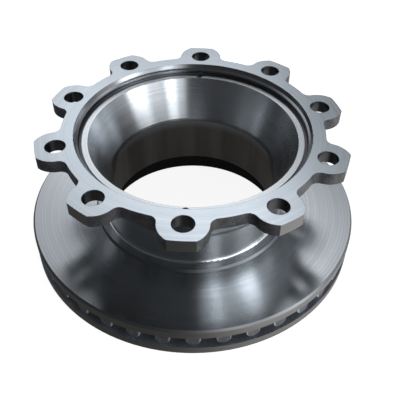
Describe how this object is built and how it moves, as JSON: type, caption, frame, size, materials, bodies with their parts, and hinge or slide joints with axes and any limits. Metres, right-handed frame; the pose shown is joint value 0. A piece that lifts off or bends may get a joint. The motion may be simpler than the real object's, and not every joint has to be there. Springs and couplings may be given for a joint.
{
  "type": "ventilated brake disc",
  "caption": "Ventilated brake disc with a tall conical hat, a lobed bolt flange and a vaned friction ring, turned from one iron casting.",
  "frame": {"origin": "centre of the inboard friction face, on the axle's axis", "axes": "+Z along the axle's axis from the inboard friction face towards the flange; -Y through the front stud hole"},
  "size_m": [0.43, 0.4298, 0.168],
  "materials": {
    "cast_iron": "turned and milled, rough cast between the vanes"
  },
  "bodies": {
    "root": {"brake_disc": "cast_iron"}
  },
  "joints": []
}
